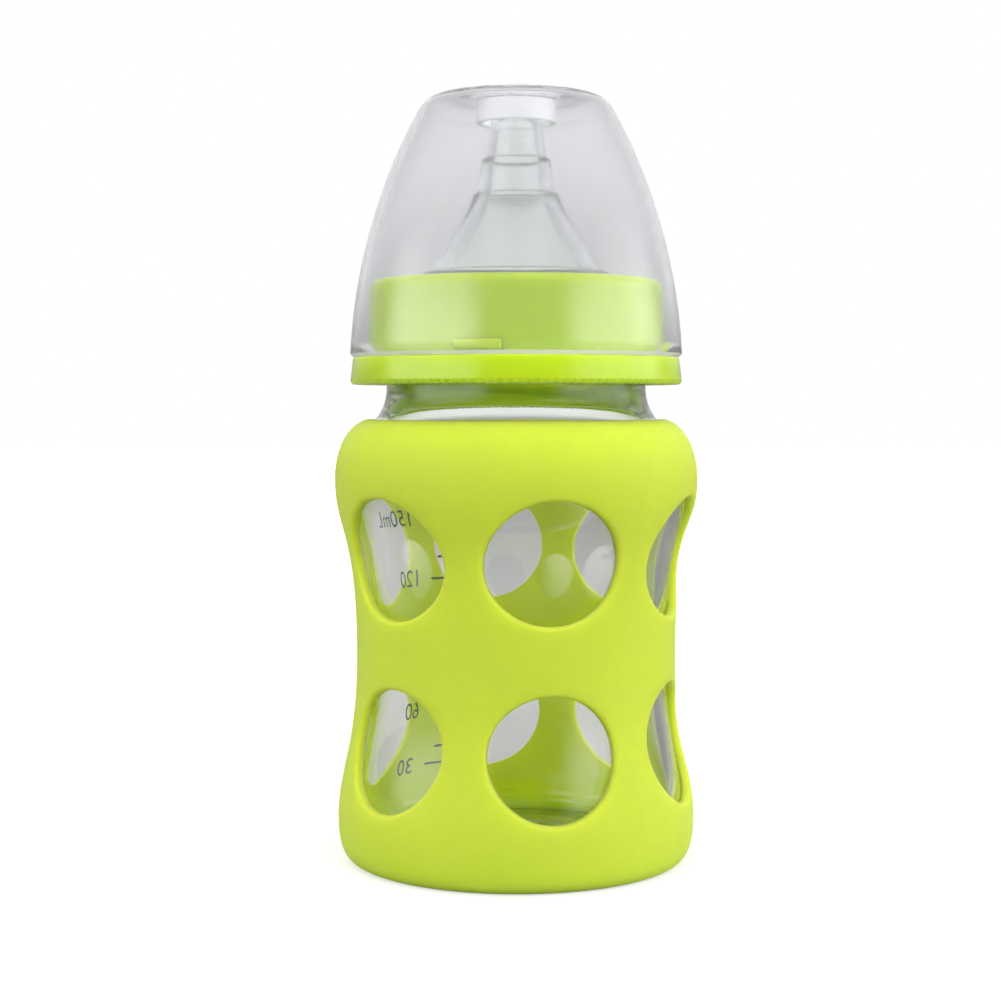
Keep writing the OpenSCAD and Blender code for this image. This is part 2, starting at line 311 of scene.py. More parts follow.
def curve(a, b, c, d, steps=CURVE_STEPS):
    """Points of a smooth curve from a to d that leaves towards b and arrives from c."""
    points = []
    for i in range(steps + 1):
        t = i / steps
        s = 1 - t
        points.append(s**3 * a + 3 * s * s * t * b + 3 * s * t * t * c + t**3 * d)
    return points


def corner(centre, radius, start, end, steps=6):
    """Points of a round corner, from one angle to another in degrees."""
    points = []
    for i in range(steps + 1):
        a = math.radians(start + (end - start) * i / steps)
        points.append(centre + radius * point(math.cos(a), math.sin(a)))
    return points


def sway(a, d, pull, steps=CURVE_STEPS):
    """S-shaped stretch between two upright ends."""
    rise = point(0, d.y - a.y)
    return curve(a, a + pull[0] * rise, d - pull[1] * rise, d, steps)


def chain(*stretches):
    """Joins stretches of an outline and drops the points where they meet."""
    points = []
    for stretch in stretches:
        for p in stretch:
            if not points or (p - points[-1]).length > WELD:
                points.append(p)
    return points


def rings_of_side(glass, add):
    """Lower swell, waist and upper swell of the bottle's side, moved outwards by add."""
    base_z = glass.foot_z + glass.base_rise
    waist_z = base_z + glass.waist_rise
    return (
        point(glass.base + add, base_z),
        point(glass.waist + add, waist_z),
        point(glass.shoulder + add, waist_z + glass.shoulder_rise),
    )


def foot_curve(start, swell):
    """Round foot from a flat start to the lower swell."""
    run = swell - start
    return curve(start, start + point(FOOT_PULL[0] * run.x, 0), swell - point(0, FOOT_PULL[1] * run.y), swell)


def side_curve(glass, add):
    """Side of the bottle from the lower swell to the upper one."""
    base, waist, shoulder = rings_of_side(glass, add)
    return chain(sway(base, waist, LOWER_PULL), sway(waist, shoulder, UPPER_PULL))


def pushup_curve(glass, z):
    """Low dome of the floor, from the axis to its edge at height z."""
    r = glass.foot - glass.ring
    top = z + glass.pushup
    return curve(point(0, top), point(r / 2, top), point(r / 2, z), point(r, z))


def glass_outside(glass, add=0.0):
    """Outside of the glass from the foot to the straight neck."""
    base, _, shoulder = rings_of_side(glass, add)
    neck = point(glass.neck + add, shoulder.y + glass.neck_rise)
    return chain(
        foot_curve(point(glass.foot + add, glass.foot_z), base),
        side_curve(glass, add),
        sway(shoulder, neck, NECK_PULL, 2 * CURVE_STEPS),
    )


def glass_inside(glass):
    """Inside of the glass from the floor's middle to the rim."""
    base, _, shoulder = rings_of_side(glass, -glass.wall)
    floor_z = glass.foot_z + glass.floor
    neck = point(glass.neck - glass.neck_wall, shoulder.y + glass.neck_rise + glass.neck_turn)
    return chain(
        pushup_curve(glass, floor_z),
        foot_curve(point(glass.foot - glass.wall, floor_z), base),
        side_curve(glass, -glass.wall),
        sway(shoulder, neck, THROAT_PULL, 2 * CURVE_STEPS),
    )


def radius_at(outline, z):
    """Radius of a rising outline at a height."""
    for low, high in zip(outline, outline[1:]):
        if low.y <= z <= high.y and high.y > low.y:
            return low.x + (high.x - low.x) * (z - low.y) / (high.y - low.y)
    return outline[0].x if z < outline[0].y else outline[-1].x


# Modelling helpers

STAY = {"value": (0, 0, 0)}


def deselect():
    """Leaves edit mode and deselects everything."""
    if bpy.context.object and bpy.context.object.mode != "OBJECT":
        bpy.ops.object.mode_set(mode="OBJECT")
    bpy.ops.object.select_all(action="DESELECT")


def select(*pieces):
    """Selects some pieces and nothing else, and makes the first one active."""
    deselect()
    for piece in pieces:
        piece.select_set(True)
    bpy.context.view_layer.objects.active = pieces[0]


def new_piece(name):
    """Names the object that an operator just added."""
    piece = bpy.context.object
    piece.name = name
    piece.data.name = name
    return piece


def join(pieces, name):
    """Joins pieces into the first one."""
    select(*pieces)
    bpy.ops.object.join()
    return new_piece(name)


def edit(piece, action="DESELECT"):
    """Enters edit mode on one piece with nothing or all of it selected."""
    select(piece)
    bpy.ops.object.mode_set(mode="EDIT")
    bpy.ops.mesh.select_all(action=action)


def select_where(piece, test, kind="VERT"):
    """Selects, in edit mode, the vertices or edges whose points pass a test."""
    bpy.ops.mesh.select_mode(type=kind)
    bpy.ops.mesh.select_all(action="DESELECT")
    bpy.ops.object.mode_set(mode="OBJECT")
    mesh = piece.data
    if kind == "VERT":
        for v in mesh.vertices:
            v.select = test(v.co)
    else:
        for edge in mesh.edges:
            edge.select = all(test(mesh.vertices[i].co) for i in edge.vertices)
    bpy.ops.object.mode_set(mode="EDIT")


def move_selected(piece, place):
    """Moves each selected vertex to the place that a function gives for it."""
    bpy.ops.object.mode_set(mode="OBJECT")
    for v in piece.data.vertices:
        if v.select:
            v.co = place(v.co)
    bpy.ops.object.mode_set(mode="EDIT")


def close_up():
    """Welds doubles, points every face outwards and leaves edit mode."""
    bpy.ops.mesh.select_all(action="SELECT")
    bpy.ops.mesh.remove_doubles(threshold=WELD)
    bpy.ops.mesh.normals_make_consistent(inside=False)
    bpy.ops.object.mode_set(mode="OBJECT")


def modify(piece, kind, **settings):
    """Gives a piece a modifier with its settings and applies it."""
    select(piece)
    modifier = piece.modifiers.new(kind.lower(), kind)
    for name, value in settings.items():
        setattr(modifier, name, value)
    bpy.ops.object.modifier_apply(modifier=modifier.name)


def smooth(piece, crease=40):
    """Shades a piece smooth, with a crease where faces meet at more than an angle in degrees."""
    select(piece)
    bpy.ops.object.shade_smooth_by_angle(angle=math.radians(crease))


def turned(name, outline, steps=TURN_STEPS):
    """Spins an outline of radius and height about the Z axis into a closed body."""
    deselect()
    bpy.ops.mesh.primitive_plane_add(size=MM)
    piece = new_piece(name)
    bpy.ops.object.mode_set(mode="EDIT")
    bpy.ops.mesh.merge(type="CENTER")
    bpy.ops.transform.translate(value=(outline[0].x, 0, outline[0].y))
    for here, there in zip(outline, outline[1:]):
        step = there - here
        bpy.ops.mesh.extrude_region_move(TRANSFORM_OT_translate={"value": (step.x, 0, step.y)})
    bpy.ops.mesh.select_all(action="SELECT")
    bpy.ops.mesh.spin(steps=steps, angle=math.tau, center=(0, 0, 0), axis=(0, 0, 1))
    close_up()
    return piece


def finish_piece(piece, material, body, node=None):
    """Gives a piece its finish and its body, and hides the CAD node that it stands for."""
    piece.data.materials.clear()
    piece.data.materials.append(material)
    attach(piece, body)
    if node:
        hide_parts(node)


def radial(co):
    """Distance of a point from the bottle's axis."""
    return math.hypot(co.x, co.y)


def turn_of(co):
    """Turn of a point from the front, where the front is -Y and the turn grows towards +X."""
    return math.atan2(co.x, -co.y)


def wrapped(turn, r, z):
    """The point at a turn from the front, a radius and a height."""
    return Vector((r * math.sin(turn), -r * math.cos(turn), z))


def widen(co, amount, r):
    """Moves a point at radius r outwards."""
    grow = 1 + amount / r
    co.x *= grow
    co.y *= grow


# Share of a turn over which each end of a ridge runs out
RIDGE_END = 0.1


def thread_ridge(thread, co, low_z):
    """Height of the helical ridge at a point, from nothing to the full ridge."""
    around = (math.atan2(co.y, co.x) / math.tau) % 1.0
    climb = (co.z - low_z) / thread.pitch - around
    turn = round(climb)
    along = around + turn
    off = abs(climb - turn) * thread.pitch
    if off >= thread.half or not 0 <= along <= thread.turns:
        return 0.0
    end = min(1.0, min(along, thread.turns - along) / RIDGE_END)
    return thread.ridge * end * math.cos(math.pi / 2 * off / thread.half) ** 2


# Node helpers


def feed(tree, socket, value):
    """Links an output to a socket, or sets the socket to a constant."""
    if isinstance(value, bpy.types.NodeSocket):
        tree.links.new(value, socket)
    else:
        socket.default_value = value


def worked_out(tree, operation, *values):
    """Result of a Math node on outputs and constants."""
    node = tree.nodes.new("ShaderNodeMath")
    node.operation = operation
    for socket, value in zip(node.inputs, values):
        feed(tree, socket, value)
    return node.outputs["Value"]


def mapped(tree, value, start, end, low=0.0, high=1.0, kind="LINEAR"):
    """Result of a Map Range node that goes from low at start to high at end."""
    node = tree.nodes.new("ShaderNodeMapRange")
    node.interpolation_type = kind
    given = {"Value": value, "From Min": start, "From Max": end, "To Min": low, "To Max": high}
    for name, each in given.items():
        feed(tree, node.inputs[name], each)
    return node.outputs["Result"]


def mixed(tree, factor, a, b):
    """Result of a Mix node that goes from a to b."""
    node = tree.nodes.new("ShaderNodeMix")
    for name, value in (("Factor", factor), ("A", a), ("B", b)):
        feed(tree, node.inputs[name], value)
    return node.outputs["Result"]


def towards(tree, place, turn):
    """How far a place lies in the direction at a turn from the front."""
    node = tree.nodes.new("ShaderNodeVectorMath")
    node.operation = "DOT_PRODUCT"
    feed(tree, node.inputs[0], place)
    feed(tree, node.inputs[1], wrapped(turn, 1, 0))
    return node.outputs["Value"]


# Materials


def new_material(name):
    """A node material with its tree and its Principled shader."""
    material = bpy.data.materials.new(name)
    material.use_nodes = True
    return material, material.node_tree, material.node_tree.nodes["Principled BSDF"]


def set_sockets(node, **values):
    """Sets constant sockets of a node by their names with underscores for spaces."""
    for name, value in values.items():
        node.inputs[name.replace("_", " ")].default_value = value


def grain_group():
    """Node group: tone, roughness and height of a moulded surface, from fine grain and slow drift."""
    name = "moulded_grain"
    if name in bpy.data.node_groups:
        return bpy.data.node_groups[name]
    group = bpy.data.node_groups.new(name, "ShaderNodeTree")
    for label, kind, default in (
        ("Color", "NodeSocketColor", (1, 1, 1, 1)),
        ("Tone", "NodeSocketFloat", 0.05),
        ("Roughness", "NodeSocketFloat", 0.5),
        ("Roughness Drift", "NodeSocketFloat", 0.05),
        ("Grain Scale", "NodeSocketFloat", 2500.0),
    ):
        group.interface.new_socket(name=label, in_out="INPUT", socket_type=kind).default_value = default
    for label, kind in (
        ("Color", "NodeSocketColor"),
        ("Roughness", "NodeSocketFloat"),
        ("Height", "NodeSocketFloat"),
    ):
        group.interface.new_socket(name=label, in_out="OUTPUT", socket_type=kind)
    nodes, links = group.nodes, group.links
    given = nodes.new("NodeGroupInput").outputs
    result = nodes.new("NodeGroupOutput").inputs
    place = nodes.new("ShaderNodeTexCoord").outputs["Object"]
    drift, grain = (nodes.new("ShaderNodeTexNoise") for _ in range(2))
    set_sockets(drift, Scale=70, Detail=3)
    set_sockets(grain, Detail=2)
    for noise in (drift, grain):
        links.new(place, noise.inputs["Vector"])
    links.new(given["Grain Scale"], grain.inputs["Scale"])

    centred = worked_out(group, "SUBTRACT", drift.outputs["Fac"], 0.5)
    tinted = nodes.new("ShaderNodeVectorMath")
    tinted.operation = "SCALE"
    links.new(given["Color"], tinted.inputs[0])
    links.new(worked_out(group, "MULTIPLY_ADD", centred, given["Tone"], 1.0), tinted.inputs["Scale"])
    rough = worked_out(group, "MULTIPLY_ADD", centred, given["Roughness Drift"], given["Roughness"])
    links.new(tinted.outputs["Vector"], result["Color"])
    links.new(rough, result["Roughness"])
    links.new(grain.outputs["Fac"], result["Height"])
    return group


def add_grain(tree, shader, tint, tone, rough, drift, scale, depth):
    """Drives a shader's colour, roughness and normal with the moulded grain."""
    grain = tree.nodes.new("ShaderNodeGroup")
    grain.node_tree = grain_group()
    set_sockets(grain, Color=(*tint, 1), Tone=tone, Roughness=rough, Roughness_Drift=drift, Grain_Scale=scale)
    bump = tree.nodes.new("ShaderNodeBump")
    set_sockets(bump, Strength=1.0, Distance=depth)
    tree.links.new(grain.outputs["Color"], shader.inputs["Base Color"])
    tree.links.new(grain.outputs["Roughness"], shader.inputs["Roughness"])
    tree.links.new(grain.outputs["Height"], bump.inputs["Height"])
    tree.links.new(bump.outputs["Normal"], shader.inputs["Normal"])


def let_lamps_through(tree, shader, tint):
    """Lets the lamps' shadow rays through a clear material, tinted."""
    path = tree.nodes.new("ShaderNodeLightPath")
    clear = tree.nodes.new("ShaderNodeBsdfTransparent")
    set_sockets(clear, Color=(*tint, 1))
    mix = tree.nodes.new("ShaderNodeMixShader")
    tree.links.new(path.outputs["Is Shadow Ray"], mix.inputs["Fac"])
    tree.links.new(shader.outputs["BSDF"], mix.inputs[1])
    tree.links.new(clear.outputs["BSDF"], mix.inputs[2])
    tree.links.new(mix.outputs["Shader"], tree.nodes["Material Output"].inputs["Surface"])


def seep(shader, depth, shares):
    """Lets light seep into a material, red, green and blue each to a share of a depth."""
    set_sockets(shader, Subsurface_Weight=1.0, Subsurface_Radius=shares, Subsurface_Scale=depth)


def lime_silicone(colours):
    """Matte silicone of the sleeve, with a fine grain, a powdery sheen and light that seeps through."""
    material, tree, shader = new_material("lime_silicone")
    add_grain(tree, shader, colours.sleeve, tone=0.10, rough=0.52, drift=0.12, scale=2600, depth=0.02 * MM)
    set_sockets(shader, Sheen_Weight=0.02, Sheen_Roughness=0.45, Specular_IOR_Level=0.16, IOR=1.41)
    seep(shader, 8 * MM, (1.0, 1.0, 0.3))
    return material


def lime_plastic(colours):
    """Glossy plastic of the collar."""
    material, tree, shader = new_material("lime_plastic")
    add_grain(tree, shader, colours.collar, tone=0.05, rough=0.16, drift=0.08, scale=900, depth=0.004 * MM)
    set_sockets(shader, IOR=1.49)
    seep(shader, 4 * MM, (1.0, 1.0, 0.3))
    return material


def clear_glass(colours):
    """Clear bottle glass with the slight waves of a mould."""
    material, tree, shader = new_material("clear_glass")
    add_grain(tree, shader, colours.glass, tone=0.01, rough=0.008, drift=0.01, scale=90, depth=0.04 * MM)
    set_sockets(shader, Transmission_Weight=1.0, IOR=1.5)
    let_lamps_through(tree, shader, (0.98, 0.985, 0.98))
    return material


def clear_silicone(colours):
    """Translucent silicone of the teat."""
    material, tree, shader = new_material("clear_silicone")
    add_grain(tree, shader, colours.teat, tone=0.04, rough=0.06, drift=0.04, scale=1400, depth=0.006 * MM)
    set_sockets(shader, Transmission_Weight=0.92, IOR=1.41)
    seep(shader, 4 * MM, (1.0, 1.0, 1.0))
    let_lamps_through(tree, shader, (0.94, 0.95, 0.94))
    return material


def clear_plastic(colours):
    """Clear, slightly milky plastic of the dust cap."""
    material, tree, shader = new_material("clear_plastic")
    add_grain(tree, shader, colours.cap, tone=0.02, rough=0.08, drift=0.04, scale=500, depth=0.004 * MM)
    set_sockets(shader, Transmission_Weight=0.96, IOR=1.45)
    let_lamps_through(tree, shader, (0.97, 0.97, 0.98))
    return material


def milky_plastic(colours):
    """Whiter, less clear plastic on the cap's rim foot and crown ring: a painted highlight for their bright
    white edges.
    """
    material, tree, shader = new_material("milky_plastic")
    add_grain(tree, shader, colours.milk, tone=0.02, rough=0.25, drift=0.06, scale=500, depth=0.004 * MM)
    set_sockets(shader, Transmission_Weight=0.4, IOR=1.45)
    let_lamps_through(tree, shader, (0.95, 0.95, 0.96))
    return material


def scale_ink(colours):
    """Dark ink of the printed scale, a little uneven."""
    material, tree, shader = new_material("scale_ink")
    add_grain(tree, shader, colours.ink, tone=0.4, rough=0.45, drift=0.1, scale=3000, depth=0.003 * MM)
    return material


# Distances over which the paper turns grey, before the bottle and at its right
GREY_BEFORE = (-30 * MM, 100 * MM)
GREY_RIGHT = (30 * MM, 200 * MM)
# Light that the paper adds for the camera: the distances from the bottle over which it grows,
# its levels there, and its levels on white and on grey paper, of which the brighter holds
GLOW_AWAY = (120 * MM, 600 * MM)
GLOW = (0.5, 1.0)
GREY_GLOW = (0.5, 0.8)


def studio_paper(colours, studio):
    """White paper with a grey part, which the camera sees as white but for the shadow."""
    material, tree, shader = new_material("studio_paper")
    place = tree.nodes.new("ShaderNodeTexCoord").outputs["Object"]
    before = mapped(tree, towards(tree, place, studio.turn), *GREY_BEFORE)
    right = mapped(tree, towards(tree, place, studio.turn + math.pi / 2), *GREY_RIGHT)
    grey = worked_out(tree, "MAXIMUM", before, right)
    paper = tree.nodes.new("ShaderNodeMix")
    paper.data_type = "RGBA"
    tints = [socket for socket in paper.inputs if socket.type == "RGBA"]
    for socket, tint in zip(tints, (colours.floor, colours.front)):
        socket.default_value = (*tint, 1)
    tree.links.new(grey, paper.inputs["Factor"])
    tree.links.new(next(out for out in paper.outputs if out.type == "RGBA"), shader.inputs["Base Color"])
    set_sockets(shader, Roughness=0.9, Specular_IOR_Level=0.0)

    away = tree.nodes.new("ShaderNodeVectorMath")
    away.operation = "LENGTH"
    tree.links.new(place, away.inputs[0])
    far = mapped(tree, away.outputs["Value"], *GLOW_AWAY, *GLOW)
    lift = worked_out(tree, "MAXIMUM", far, mapped(tree, grey, 0, 1, *GREY_GLOW))
    path = tree.nodes.new("ShaderNodeLightPath")
    glow = tree.nodes.new("ShaderNodeEmission")
    both = tree.nodes.new("ShaderNodeAddShader")
    tree.links.new(worked_out(tree, "MULTIPLY", path.outputs["Is Camera Ray"], lift), glow.inputs["Strength"])
    tree.links.new(shader.outputs["BSDF"], both.inputs[0])
    tree.links.new(glow.outputs["Emission"], both.inputs[1])
    tree.links.new(both.outputs["Shader"], tree.nodes["Material Output"].inputs["Surface"])
    return material


# Operators, one for each piece


class BOTTLE_OT_glass(bpy.types.Operator):
    """Turn the glass bottle and raise the thread on its neck"""

    bl_idname = "bottle.glass"
    bl_label = "Glass bottle"

    def execute(self, context):
        glass = context.scene.bottle_glass
        thread = context.scene.bottle_thread
        outside = glass_outside(glass)
        inside = glass_inside(glass)
        neck_z = outside[-1].y
        top_z = glass.rim_z - glass.rim_round
        rows = round((top_z - neck_z) / THREAD_ROW)
        neck = [point(glass.neck, neck_z + (top_z - neck_z) * i / rows) for i in range(1, rows)]
        mouth = glass.neck - glass.neck_wall
        rim = chain(
            corner(point(glass.neck - glass.rim_round, top_z), glass.rim_round, 0, 90),
            corner(point(mouth + glass.rim_round, top_z), glass.rim_round, 90, 180),
        )
        outline = chain(pushup_curve(glass, glass.foot_z), outside, neck, rim, reversed(inside))
        piece = turned("bottle_glass", outline)
        for v in piece.data.vertices:
            if v.co.z > neck_z and abs(radial(v.co) - glass.neck) < NEAR:
                widen(v.co, thread_ridge(thread, v.co, neck_z + thread.start), glass.neck)
        smooth(piece)
        finish = clear_glass(context.scene.bottle_colours)
        finish_piece(piece, finish, "bottle", "glass_bottle")
        return {"FINISHED"}


def fill_height(glass, millilitres):
    """Height of the milk's surface when the bottle holds so many millilitres."""
    floor_r = glass.foot - glass.ring
    side = [p for p in glass_inside(glass) if p.x > floor_r]
    wanted = millilitres * MM**2
    held = -math.pi * floor_r**2 * glass.pushup / 2
    for low, high in zip(side, side[1:]):
        slab = math.pi * (high.y - low.y) * (low.x**2 + low.x * high.x + high.x**2) / 3
        if held + slab >= wanted:
            return low.y + (high.y - low.y) * (wanted - held) / slab
        held += slab
    raise ValueError(f"the bottle holds less than {millilitres} mL")


class BOTTLE_OT_scale(bpy.types.Operator):
    """Print the millilitre scale on the outside of the glass"""

    bl_idname = "bottle.scale"
    bl_label = "Millilitre scale"

    # Cuts along the upright line and across the numbers, so that they follow the glass
    LINE_CUTS = 15
    NUMBER_CUTS = 2

    def execute(self, context):
        scale = context.scene.bottle_scale
        glass = context.scene.bottle_glass
        outside = glass_outside(glass)
        marks = range(scale.number, scale.top + 1, scale.step)
        heights = {n: fill_height(glass, n) - scale.drop for n in marks}
        half = scale.line / 2
        parts = [self.bar(-half, half, heights[scale.number], heights[scale.top], scale.line)]
        for n, z in heights.items():
            numbered = n % scale.number == 0
            parts.append(self.bar(0, scale.tick if numbered else scale.short, z, z, scale.line))
            if numbered:
                parts.append(self.number(n, scale, z))
        piece = join(parts, "millilitre_scale")
        for v in piece.data.vertices:
            r = radius_at(outside, v.co.y) + scale.film / 2
            v.co = wrapped(scale.turn + v.co.x / glass.waist, r, v.co.y)
        modify(piece, "SOLIDIFY", thickness=scale.film / 2, offset=1)
        finish_piece(piece, scale_ink(context.scene.bottle_colours), "bottle")
        return {"FINISHED"}

    def bar(self, x0, x1, z0, z1, width):
        """A printed line on the flat pattern, from one corner to the other, widened by half its width."""
        deselect()
        bpy.ops.mesh.primitive_grid_add(x_subdivisions=6, y_subdivisions=2, size=1)
        part = new_piece("bar")
        for v in part.data.vertices:
            v.co.x = x0 + (v.co.x + 0.5) * (x1 - x0)
            v.co.y = (z0 + z1) / 2 + v.co.y * (z1 - z0 + width)
        if z1 - z0 > width:
            edit(part, "SELECT")
            bpy.ops.mesh.subdivide(number_cuts=self.LINE_CUTS)
            bpy.ops.object.mode_set(mode="OBJECT")
        return part

    def number(self, value, scale, z):
        """A number beside its tick on the flat pattern, with the unit after the largest one."""
        deselect()
        bpy.ops.object.text_add()
        text = bpy.context.object
        text.data.body = f"{value}mL" if value == scale.top else str(value)
        text.data.size = scale.text
        text.data.align_y = "CENTER"
        text.data.resolution_u = 4
        bpy.ops.object.convert(target="MESH")
        part = new_piece("number")
        edit(part, "SELECT")
        bpy.ops.mesh.quads_convert_to_tris()
        bpy.ops.mesh.subdivide(number_cuts=self.NUMBER_CUTS)
        bpy.ops.mesh.remove_doubles(threshold=WELD)
        bpy.ops.transform.translate(value=(scale.tick + scale.gap, z, 0))
        bpy.ops.object.mode_set(mode="OBJECT")
        return part


class BOTTLE_OT_sleeve(bpy.types.Operator):
    """Model the silicone sleeve from rows of oval windows wrapped round the glass"""

    bl_idname = "bottle.sleeve"
    bl_label = "Silicone sleeve"

    # Points of a window, and shares of the way from a window to its frame where the rings round it lie
    RAYS = 64
    RINGS = (0.45, 0.72, 1.0)
    # Shares of the flat underside, from its opening outwards, where its rings lie
    LIP_RINGS = (0.66, 0.33, 0)
    # How near a point lies to a ring, to a window's edge and to a seam that it belongs to
    RING_NEAR = 0.005 * MM
    EDGE_NEAR = 0.02 * MM
    SEAM_NEAR = 0.01 * MM
    # Depth below the upper rings at which the path of their inner points starts
    INNER_START = 2 * MM

    def execute(self, context):
        glass = context.scene.bottle_glass
        sleeve = context.scene.bottle_sleeve
        cover = sleeve.wall + sleeve.gap
        self.outside = side_curve(glass, cover)
        self.inside = side_curve(glass, sleeve.gap)
        waist_z = rings_of_side(glass, cover)[1].y
        low_z = waist_z - sleeve.lower
        high_z = waist_z + sleeve.upper
        self.rows = ((low_z, sleeve.lower_w), (high_z, sleeve.upper_w))
        piece = join([self.window_row(sleeve, z, width) for z, width in self.rows], "sleeve_silicone")
        self.bridge_rows(piece, low_z + sleeve.cell, high_z - sleeve.cell)
        top = self.top_rings(glass, sleeve, high_z + sleeve.cell)
        foot = self.foot_rings(glass, sleeve, low_z - sleeve.cell)
        self.extend(piece, high_z + sleeve.cell, [outer for outer, _ in top])
        self.extend(piece, low_z - sleeve.cell, [outer for outer, _ in foot])
        self.thicken(piece, top + foot)
        self.soften(piece, sleeve)
        self.raise_seam(piece, sleeve)
        smooth(piece, crease=42)
        finish = lime_silicone(context.scene.bottle_colours)
        finish_piece(piece, finish, "bottle", "silicone_sleeve")
        return {"FINISHED"}

    def window_row(self, sleeve, z, width):
        """One band of windows on the outside of the sleeve, centred on height z."""
        deselect()
        bpy.ops.mesh.primitive_circle_add(vertices=self.RAYS, radius=sleeve.window_h / 2)
        piece = new_piece("window_row")
        half = math.pi / sleeve.count
        rays = {}
        for v in piece.data.vertices:
            rim = self.on_frame(math.atan2(v.co.y, v.co.x), half, sleeve.cell)
            across = v.co.x * width / sleeve.window_h
            v.co = Vector((math.asin(across / radius_at(self.outside, z + v.co.y)), v.co.y, 0))
            rays[v.co.copy().freeze()] = (v.co.copy(), rim)
        edit(piece, "SELECT")
        for share in self.RINGS:
            bpy.ops.mesh.extrude_edges_move(TRANSFORM_OT_translate=STAY)
            bpy.ops.object.mode_set(mode="OBJECT")
            moved = {}
            for v in piece.data.vertices:
                if v.select:
                    start, rim = rays[v.co.copy().freeze()]
                    v.co = start.lerp(rim, share)
                    moved[v.co.copy().freeze()] = (start, rim)
            rays = moved
            bpy.ops.object.mode_set(mode="EDIT")
        modify(
            piece,
            "ARRAY",
            count=sleeve.count,
            use_relative_offset=False,
            use_constant_offset=True,
            constant_offset_displace=(2 * half, 0, 0),
            use_merge_vertices=True,
            merge_threshold=NEAR,
        )
        for v in piece.data.vertices:
            high = z + v.co.y
            v.co = wrapped(v.co.x, radius_at(self.outside, high), high)
        edit(piece)
        close_up()
        return piece

    def on_frame(self, ray, half, cell):
        """Where a ray from a window's middle meets the frame of its cell, evenly along each side."""
        quarters = ray / (math.pi / 2)
        side = round(quarters)
        along = 2 * (quarters - side)
        x, y = ((1, along), (-along, 1), (-1, -along), (along, -1))[side % 4]
        return Vector((x * half, y * cell, 0))

    def bridge_rows(self, piece, low, high):
        """Joins the two bands of windows with a plain band that follows the waist."""
        edit(piece)
        select_where(piece, lambda co: min(abs(co.z - low), abs(co.z - high)) < NEAR, "EDGE")
        bpy.ops.mesh.bridge_edge_loops(number_cuts=2)
        bpy.ops.object.mode_set(mode="OBJECT")
        for v in piece.data.vertices:
            if low < v.co.z < high:
                v.co = wrapped(turn_of(v.co), radius_at(self.outside, v.co.z), v.co.z)

    def top_rings(self, glass, sleeve, start_z):
        """Pairs of outer and inner points from the upper band of windows to the upper edge."""
        swell = rings_of_side(glass, sleeve.wall + sleeve.gap)[2]
        edge = point(sleeve.rim, sleeve.rim_z)
        run = swell - edge
        leaving = point(0, -SLEEVE_TOP_PULL[0] * run.y)
        arriving = point(-SLEEVE_TOP_PULL[1] * run.x, -SLEEVE_TOP_FALL * run.y)
        outer = curve(swell, swell + leaving, edge - arriving, edge)
        outer = [p for p in outer if p.y > start_z + WELD]
        inner = [p for p in glass_outside(glass, sleeve.gap) if p.y >= swell.y and p.x >= edge.x]
        inner = [p for p in inner if p.y > start_z - self.INNER_START]
        return list(zip(outer, spread(inner, len(outer))))

    def foot_rings(self, glass, sleeve, start_z):
        """Pairs of outer and inner points from the lower band of windows to the opening under the foot."""
        cover = sleeve.wall + sleeve.gap
        outer_swell = rings_of_side(glass, cover)[0]
        inner_swell = rings_of_side(glass, sleeve.gap)[0]
        outer = foot_curve(point(glass.foot + cover, 0), outer_swell)
        inner = foot_curve(point(glass.foot + sleeve.gap, glass.foot_z), inner_swell)
        outer = [p for p in reversed(outer) if p.y < start_z - WELD]
        inner = inner[:len(outer)][::-1]
        flat = [sleeve.lip + (glass.foot - sleeve.lip) * share for share in self.LIP_RINGS]
        outer += [point(r, 0) for r in flat]
        inner += [point(r, glass.foot_z) for r in flat]
        return list(zip(outer, inner))

    def extend(self, piece, start_z, points):
        """Extrudes the open edge at a height along the points of an outline."""
        edit(piece)
        select_where(piece, lambda co: abs(co.z - start_z) < NEAR, "EDGE")
        for p in points:
            bpy.ops.mesh.extrude_edges_move(TRANSFORM_OT_translate=STAY)
            move_selected(piece, lambda co: wrapped(turn_of(co), p.x, p.y))
        bpy.ops.object.mode_set(mode="OBJECT")

    def thicken(self, piece, pairs):
        """Extrudes the whole sheet inwards to the glass, with walls at every open edge."""

        def inner(co):
            """The point on the inside that belongs to one on the outside."""
            here = point(radial(co), co.z)
            for outer, under in pairs:
                if (outer - here).length < self.RING_NEAR:
                    return wrapped(turn_of(co), under.x, under.y)
            return wrapped(turn_of(co), radius_at(self.inside, co.z), co.z)

        edit(piece, "SELECT")
        bpy.ops.mesh.extrude_region_move(TRANSFORM_OT_translate=STAY)
        move_selected(piece, inner)
        bpy.ops.mesh.select_all(action="SELECT")
        bpy.ops.mesh.normals_make_consistent(inside=False)
        bpy.ops.object.mode_set(mode="OBJECT")

    def soften(self, piece, sleeve):
        """Rounds the outer edges of the windows."""

        def on_window(co):
            """Whether a point lies on the outer edge of a window."""
            if abs(radial(co) - radius_at(self.outside, co.z)) > self.EDGE_NEAR:
                return False
            step = math.tau / sleeve.count
            turn = turn_of(co) - step * round(turn_of(co) / step)
            across = radial(co) * math.sin(turn)
            near = (math.hypot(across / width, (co.z - z) / sleeve.window_h) for z, width in self.rows)
            return any(abs(share - 0.5) * sleeve.window_h < self.EDGE_NEAR for share in near)

        edit(piece)
        select_where(piece, on_window, "EDGE")
        bpy.ops.mesh.bevel(offset=sleeve.soft, segments=4, profile=0.5, affect="EDGES")
        bpy.ops.object.mode_set(mode="OBJECT")

    def raise_seam(self, piece, sleeve):
        """Raises the two thin moulding seams between the windows."""
        first = math.pi / sleeve.count

